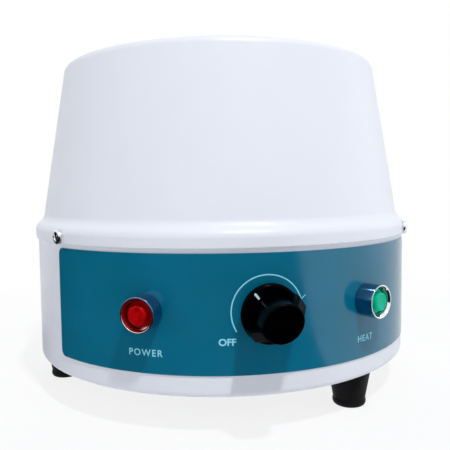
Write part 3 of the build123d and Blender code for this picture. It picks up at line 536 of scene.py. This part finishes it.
def yarns(direction):
    """Rounded rows of yarn that run along U or along V."""
    rows = tree.nodes.new("ShaderNodeTexWave")
    rows.wave_type = "BANDS"
    rows.bands_direction = direction
    rows.wave_profile = "SIN"
    rows.inputs["Scale"].default_value = pi / (10 * yarn)
    rows.inputs["Distortion"].default_value = 0.6
    rows.inputs["Detail"].default_value = 1.0
    rows.inputs["Detail Scale"].default_value = 120.0
    tree.links.new(cloth_map.outputs[0], rows.inputs["Vector"])
    return rows.outputs["Fac"]


squares = tree.nodes.new("ShaderNodeTexChecker")
squares.inputs["Scale"].default_value = 1 / yarn
tree.links.new(cloth_map.outputs[0], squares.inputs["Vector"])
over_under = tree.nodes.new("ShaderNodeMix")
tree.links.new(squares.outputs["Fac"], over_under.inputs["Factor"])
tree.links.new(yarns("X"), over_under.inputs["A"])
tree.links.new(yarns("Y"), over_under.inputs["B"])
weave = over_under.outputs["Result"]
# The weave also drives the colour: darker in the low rows, a painted shade in the gaps between the
# yarns.
tint(glass_cloth, weave, (0.60, 0.585, 0.53), (0.86, 0.85, 0.81))
relief(glass_cloth, weave, 0.5 * mm, 0.9)
relief(glass_cloth, grain(glass_cloth, 0.25 * mm), 0.08 * mm, 0.7)
nest = piece("woven_nest", nest_shape, glass_cloth, sharp=60)
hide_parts("flask_nest")


# ---- Front label ----
# A printed polycarbonate sheet, half a millimetre thick, bonded round the front of the pan. The
# ground is teal, and the scale and its words are white.

label_radius = -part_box("front_label")[0].y
shaft_low, shaft_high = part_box("control_shaft")
panel_level = (shaft_low.z + shaft_high.z) / 2
print_lift = 0.03 * mm
ink_thickness = 0.04 * mm

teal_sheet = finish("teal_sheet", (0.0, 0.138, 0.235), 0.3, specular=0.5)
tint(teal_sheet, grain(teal_sheet, 40 * mm), (0.0, 0.132, 0.22), (0.001, 0.145, 0.25))
gloss(teal_sheet, grain(teal_sheet, 12 * mm, detail=0.0), 0.13, 0.17)
relief(teal_sheet, grain(teal_sheet, 6 * mm, detail=0.0), 0.004 * mm, 0.3)
dress("front_label", teal_sheet)

white_ink = finish("white_ink", (0.27, 0.71, 0.86), 0.5, specular=0.2)
relief(white_ink, grain(white_ink, 0.3 * mm), 0.01 * mm, 0.5)


def wrap(shape):
    """Bends a flat shape, x along the label and y up, onto the label's face."""
    for corner in shape.verts:
        turn = corner.co.x / label_radius
        out = label_radius + print_lift + corner.co.z
        corner.co = Vector((sin(turn) * out, -cos(turn) * out, corner.co.y))


def legend(words, width, height, centre, baseline, spacing, boldness):
    """The words as a flat shape of exactly that width and height of capitals."""
    letters = bpy.data.curves.new(words, "FONT")
    letters.body = words
    letters.space_character = spacing
    letters.offset = boldness
    holder = bpy.data.objects.new(words, letters)
    mesh = bpy.data.meshes.new_from_object(holder)
    shape = bmesh.new()
    shape.from_mesh(mesh)
    bpy.data.objects.remove(holder)
    bpy.data.curves.remove(letters)
    bpy.data.meshes.remove(mesh)
    across = [corner.co.x for corner in shape.verts]
    up = [corner.co.y for corner in shape.verts]
    left, right, foot, top = min(across), max(across), min(up), max(up)
    stretch = (width / (right - left), height / (top - foot), 1)
    bmesh.ops.translate(shape, vec=(-(left + right) / 2, -foot, 0), verts=shape.verts)
    bmesh.ops.scale(shape, vec=stretch, verts=shape.verts)
    bmesh.ops.translate(shape, vec=(centre, baseline, 0), verts=shape.verts)
    return shape


def stroke(start, end, width):
    """A straight line of ink between two points of the flat label."""
    shape = bmesh.new()
    run = Vector(end) - Vector(start)
    side = Vector((-run.y, run.x)).normalized() * width / 2
    corners = [Vector(start) + side, Vector(start) - side, Vector(end) - side, Vector(end) + side]
    shape.faces.new([shape.verts.new((point.x, point.y, 0)) for point in corners])
    return shape


def at_clock(radius, clock):
    """A point round the knob's axis, by its clock angle in degrees."""
    return (radius * sin(radians(clock)), panel_level + radius * cos(radians(clock)))


arc_radius, arc_width = 18.75 * mm, 0.68 * mm
arc_start, arc_end = -121.6, 74.0
barb_clock, barb_spread, barb_width = 70.6, 3.1 * mm, 0.442 * mm
# Each word's width, height, centre, baseline above the pan's underside, spacing and boldness.
words = [
    ("OFF", 8.9 * mm, 3.7 * mm, -20.75 * mm, 27.4 * mm, 1.0, 0.03),
    ("POWER", 18.9 * mm, 3.6 * mm, -63.5 * mm, 21.0 * mm, 1.25, 0.015),
    ("HEAT", 13.1 * mm, 3.6 * mm, 62.9 * mm, 21.0 * mm, 1.15, 0.015),
]

ink = bmesh.new()
line = bmesh.new()
inner = line.verts.new((*at_clock(arc_radius - arc_width / 2, arc_start), 0))
outer = line.verts.new((*at_clock(arc_radius + arc_width / 2, arc_start), 0))
line.edges.new((inner, outer))
bmesh.ops.spin(
    line, geom=line.verts[:] + line.edges[:], cent=(0, panel_level, 0), axis=(0, 0, -1),
    angle=radians(arc_end - arc_start), steps=120,
)
flat_prints = [line]
tip_point = at_clock(arc_radius, arc_end)
for side in (-1, 1):
    barb = at_clock(arc_radius + side * barb_spread, barb_clock)
    flat_prints.append(stroke(tip_point, barb, barb_width))
for text, width, height, centre, baseline, spacing, boldness in words:
    level = pan_underside + baseline
    flat_prints.append(legend(text, width, height, centre, level, spacing, boldness))
for flat_print in flat_prints:
    join(ink, flat_print)
    flat_print.free()
bmesh.ops.remove_doubles(ink, verts=ink.verts, dist=0.001 * mm)
bmesh.ops.recalc_face_normals(ink, faces=ink.faces)
raised = bmesh.ops.extrude_face_region(ink, geom=ink.faces[:])
top_corners = [item for item in raised["geom"] if isinstance(item, bmesh.types.BMVert)]
bmesh.ops.translate(ink, vec=(0, 0, ink_thickness), verts=top_corners)
wrap(ink)
label_print = piece("label_print", ink, white_ink)


# ---- Indicator lamps ----
# Each lamp has a chromed brass bezel with a polished cone inside, and a stepped lens moulded with
# fine rings. The bezel's outside is painted dark teal, a painted reflection of the label and the
# dark surroundings, and its cone inside is painted near white, polished chrome made lighter by a
# painted highlight. The power lamp on the left is red, the heat lamp on the right green.

bezel_radius, bezel_length = 9.3 * mm, 10.2 * mm
bezel_floor = 1.5 * mm
cone_floor_radius = 7.5 * mm
lip_radius, chamfer_radius, chamfer_depth = 8.5 * mm, 7.6 * mm, 1.7 * mm
lens_radius, lens_step = 6.9 * mm, 6.6 * mm
cap_radius, lens_front = 5.0 * mm, 10.4 * mm
barrel_radius = 5.0 * mm
ring_pitch, ring_depth = 1.1 * mm, 0.10 * mm
back_bend, outer_bend, lip_bend, chamfer_bend = 0.2 * mm, 0.4 * mm, 0.35 * mm, 0.5 * mm
step_bend, cap_bend = 0.4 * mm, 1.1 * mm
step_rim, step_root = 0.3 * mm, 0.2 * mm
cap_rim, cap_core = 1.3 * mm, 0.6 * mm

# The outside's dark teal base colour is a painted reflection of the teal label and the dark
# surroundings.
chrome_painted_label_reflection = finish("chrome_painted_label_reflection", (0.14, 0.30, 0.46), 0.12, metallic=1.0)
gloss(chrome_painted_label_reflection, grain(chrome_painted_label_reflection, 3 * mm), 0.09, 0.15)
relief(chrome_painted_label_reflection, grain(chrome_painted_label_reflection, 5 * mm, detail=0.0), 0.01 * mm, 0.3)
# The mouth's near-white base is lighter than chrome: partly a painted highlight.
mouth_chrome_painted_highlight = finish("mouth_chrome_painted_highlight", (0.86, 0.86, 0.87), 0.12, metallic=1.0)
gloss(mouth_chrome_painted_highlight, grain(mouth_chrome_painted_highlight, 2 * mm), 0.08, 0.16)
relief(mouth_chrome_painted_highlight, grain(mouth_chrome_painted_highlight, 3 * mm, detail=0.0), 0.01 * mm, 0.3)


def ringed(start, end, level):
    """Outline points of a face between two radii, with fine grooves, from the outside in."""
    count = int(abs(start - end) / ring_pitch)
    points = []
    for ring in range(count):
        radius = start + (end - start) * (ring + 0.5) / count
        points += [(radius + ring_pitch * 0.25, level), (radius, level - ring_depth)]
    return points


def lens_finish(name, deep, bright, glow, strength):
    """Coloured plastic with a painted glow of its own colour, so that its shaded sides and hollows
    aren't dark.
    """
    material = finish(name, deep, 0.16, specular=0.3, ior=1.25)
    shader = material.node_tree.nodes["Principled BSDF"]
    # The emission is a painted glow, not a lit lamp: it lifts the lens's shaded sides and hollows.
    shader.inputs["Emission Color"].default_value = (*glow, 1)
    shader.inputs["Emission Strength"].default_value = strength
    tint(material, grain(material, 4 * mm), deep, bright)
    gloss(material, grain(material, 2 * mm), 0.12, 0.22)
    relief(material, grain(material, 1.5 * mm), 0.012 * mm, 0.3)
    return material


# Each lens's glow colour and strength set its painted glow.
lens_finishes = {
    "power": lens_finish(
        "red_lens", deep=(0.20, 0.0, 0.001), bright=(0.44, 0.0, 0.001), glow=(1.0, 0.0, 0.005),
        strength=0.02,
    ),
    "heat": lens_finish(
        "green_lens", deep=(0.0, 0.32, 0.19), bright=(0.0, 0.46, 0.28), glow=(0.0, 1.0, 0.6),
        strength=0.06,
    ),
}
for lamp in ("power", "heat"):
    low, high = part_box(f"{lamp}_lamp_bezel")
    spot = (low + high) / 2
    seat = on_wall(degrees(atan2(spot.x, -spot.y)), spot.z, label_radius)
    bezel_shape = turned([
        (barrel_radius, 0), (bezel_radius, 0), (bezel_radius, bezel_length),
        (lip_radius, bezel_length), (chamfer_radius, bezel_length - chamfer_depth),
        (cone_floor_radius, bezel_floor), (barrel_radius, bezel_floor),
    ], bends={1: back_bend, 2: outer_bend, 3: lip_bend, 4: chamfer_bend}, closed=True)
    # Faces inside the mouth take the lighter chrome with the painted highlight.
    for face in bezel_shape.faces:
        centre = face.calc_center_median()
        inward = Vector((centre.x, centre.y)).length < bezel_radius - 0.3 * mm
        if inward and centre.z > bezel_floor / 2:
            face.material_index = 1
    bmesh.ops.transform(bezel_shape, matrix=seat, verts=bezel_shape.verts)
    bezel = piece(f"{lamp}_bezel", bezel_shape, chrome_painted_label_reflection)
    bezel.data.materials.append(mouth_chrome_painted_highlight)
    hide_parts(f"{lamp}_lamp_bezel")
    step_face = ringed(lens_radius - step_rim, cap_radius + step_root, lens_step)
    cap_face = ringed(cap_radius - cap_rim, cap_core, lens_front)
    outline = [(0, bezel_floor), (lens_radius, bezel_floor), (lens_radius, lens_step)]
    outline += step_face + [(cap_radius, lens_step), (cap_radius, lens_front)]
    cap_corner = len(outline) - 1
    outline += cap_face + [(0, lens_front)]
    lens_shape = turned(outline, bends={2: step_bend, cap_corner: cap_bend}, steps=72)
    bmesh.ops.transform(lens_shape, matrix=seat, verts=lens_shape.verts)
    lens = piece(f"{lamp}_lens", lens_shape, lens_finishes[lamp])
    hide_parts(f"{lamp}_lamp_lens")


# ---- Control knob ----
# A knob moulded in black phenolic: round skirt, oval grip and two finger wings. Its corners are
# softened by the mould, and a white line on the skirt points at the scale.

mark_clock = -38.5
mark_inside, mark_outside = 10.2 * mm, 14.0 * mm
mark_width, mark_sunk, mark_proud = 1.2 * mm, 0.5 * mm, 0.04 * mm
mark_rounding = 0.54 * mm
skirt_front = 8.2 * mm

black_moulding = finish("black_moulding", (0.0004, 0.0004, 0.0008), 0.2, specular=0.15, ior=1.16)
gloss(black_moulding, grain(black_moulding, 2.5 * mm), 0.16, 0.24)
relief(black_moulding, grain(black_moulding, 0.8 * mm), 0.008 * mm, 0.3)
dress("control_knob", black_moulding)

mark_shape = bar(mark_width, mark_outside - mark_inside, mark_sunk + mark_proud)
upright = [
    edge for edge in mark_shape.edges
    if abs(edge.verts[0].co.z - edge.verts[1].co.z) > mark_proud
]
bmesh.ops.bevel(
    mark_shape, geom=upright, offset=mark_rounding, offset_type="OFFSET", affect="EDGES",
    segments=5, profile=0.5, material=-1,
)
mark_place = (
    on_wall(0, panel_level, pan_radius)
    @ Matrix.Rotation(radians(-mark_clock), 4, "Z")
    @ Matrix.Translation((0, (mark_inside + mark_outside) / 2, skirt_front + mark_proud))
)
bmesh.ops.transform(mark_shape, matrix=mark_place, verts=mark_shape.verts)
mark_paint = finish("mark_paint", (0.56, 0.80, 0.86), 0.5, specular=0.3)
relief(mark_paint, grain(mark_paint, 0.3 * mm), 0.01 * mm, 0.5)
mark = piece("pointer_line", mark_shape, mark_paint, body="knob")


# ---- Feet ----
# Three tapered feet moulded in black rubber. Each has a recess for the screw that holds it to the
# pan's floor, with a washer and a nut inside.

black_rubber = finish("black_rubber", (0.0015, 0.0015, 0.0025), 0.55, specular=0.3, ior=1.3)
gloss(black_rubber, grain(black_rubber, 6 * mm), 0.48, 0.66)
relief(black_rubber, grain(black_rubber, 0.6 * mm), 0.03 * mm, 0.5)
for foot in ("right_foot", "left_foot", "rear_foot"):
    dress(foot, black_rubber)


# ---- Cord gland ----
# A moulded black nylon gland through the back of the pan: body, cap with a rubber seal inside, and
# a locknut that holds it from within. The mantle has no cord fitted.

nylon = finish("black_nylon", (0.02, 0.02, 0.022), 0.42, specular=0.4)
gloss(nylon, grain(nylon, 4 * mm), 0.36, 0.5)
relief(nylon, grain(nylon, 0.5 * mm), 0.02 * mm, 0.5)
for node in ("gland_body", "gland_cap", "gland_locknut"):
    dress(node, nylon)
dress("gland_seal", black_rubber)


# ---- Metalwork inside and under the mantle ----
# Plated steel screws, nuts, washers and control shaft, the heat shield of galvanised sheet, and
# the regulator's, terminals' and earth's brass. They are screwed or pushed on where they work.

plated_steel = finish("plated_steel", (0.62, 0.62, 0.60), 0.3, metallic=1.0)
gloss(plated_steel, grain(plated_steel, 2 * mm), 0.24, 0.4)
relief(plated_steel, grain(plated_steel, 0.5 * mm), 0.01 * mm, 0.5)
for node in (
    "housing_nuts", "foot_screws", "foot_washers", "foot_nuts", "terminal_fixings",
    "knob_grub_screw", "control_shaft",
):
    dress(node, plated_steel)

galvanised = finish("galvanised_sheet", (0.55, 0.56, 0.57), 0.42, metallic=1.0)
tint(galvanised, grain(galvanised, 7 * mm, detail=4.0), (0.46, 0.47, 0.48), (0.64, 0.65, 0.66))
dress("heat_shield", galvanised)

brass = finish("turned_brass", (0.75, 0.55, 0.24), 0.28, metallic=1.0)
gloss(brass, grain(brass, 1 * mm), 0.2, 0.38)
for node in (
    "regulator_bush", "regulator_washer", "regulator_nut", "regulator_tags", "terminal_screws",
    "earth_stud", "earth_nuts", "power_lamp_tags", "heat_lamp_tags",
):
    dress(node, brass)


# ---- Electrical pieces inside ----
# Moulded regulator and lamp bodies with their nuts, a ceramic terminal block and lead bushes, glass
# wool packed round the nest, the sleeved heating wire, and insulated leads between the terminals.

dark_moulding = finish("dark_moulding", (0.04, 0.04, 0.045), 0.5)
relief(dark_moulding, grain(dark_moulding, 0.6 * mm), 0.02 * mm, 0.5)
for node in (
    "regulator_case", "power_lamp_body", "heat_lamp_body", "power_lamp_nut", "heat_lamp_nut",
):
    dress(node, dark_moulding)

cream_moulding = finish("cream_moulding", (0.60, 0.55, 0.42), 0.5)
relief(cream_moulding, grain(cream_moulding, 0.6 * mm), 0.02 * mm, 0.5)
dress("regulator_cover", cream_moulding)

steatite = finish("steatite", (0.80, 0.77, 0.70), 0.6)
tint(steatite, grain(steatite, 3 * mm), (0.76, 0.73, 0.66), (0.83, 0.80, 0.74))
for node in ("terminal_block", "lead_bushes"):
    dress(node, steatite)

glass_wool = finish("glass_wool", (0.72, 0.66, 0.45), 0.95, specular=0.1)
fibres = grain(glass_wool, 3 * mm, detail=5.0, stretch=(1, 1, 3))
tint(glass_wool, fibres, (0.60, 0.53, 0.33), (0.80, 0.74, 0.55))
relief(glass_wool, grain(glass_wool, 1.5 * mm, detail=5.0), 1.0 * mm, 0.8)
dress("insulation", glass_wool)

sleeving = finish("glass_sleeving", (0.78, 0.77, 0.72), 0.8, specular=0.2)
relief(sleeving, grain(sleeving, 0.5 * mm, detail=3.0), 0.1 * mm, 0.8)
dress("heating_coil", sleeving)

lead_colours = {
    "heater_feed_lead": (0.75, 0.74, 0.70),
    "heater_return_lead": (0.75, 0.74, 0.70),
    "power_lamp_lead": (0.02, 0.02, 0.02),
    "heat_lamp_lead": (0.02, 0.02, 0.02),
    "supply_lead": (0.16, 0.06, 0.02),
    "earth_lead": (0.10, 0.35, 0.04),
}
for lead, colour in lead_colours.items():
    insulation = finish(f"{lead}_insulation", colour, 0.45)
    relief(insulation, grain(insulation, 0.7 * mm), 0.03 * mm, 0.5)
    dress(lead, insulation)


# ---- Sizes ----
# The box of what is shown; the box of the construction was taken after the import.

low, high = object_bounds()
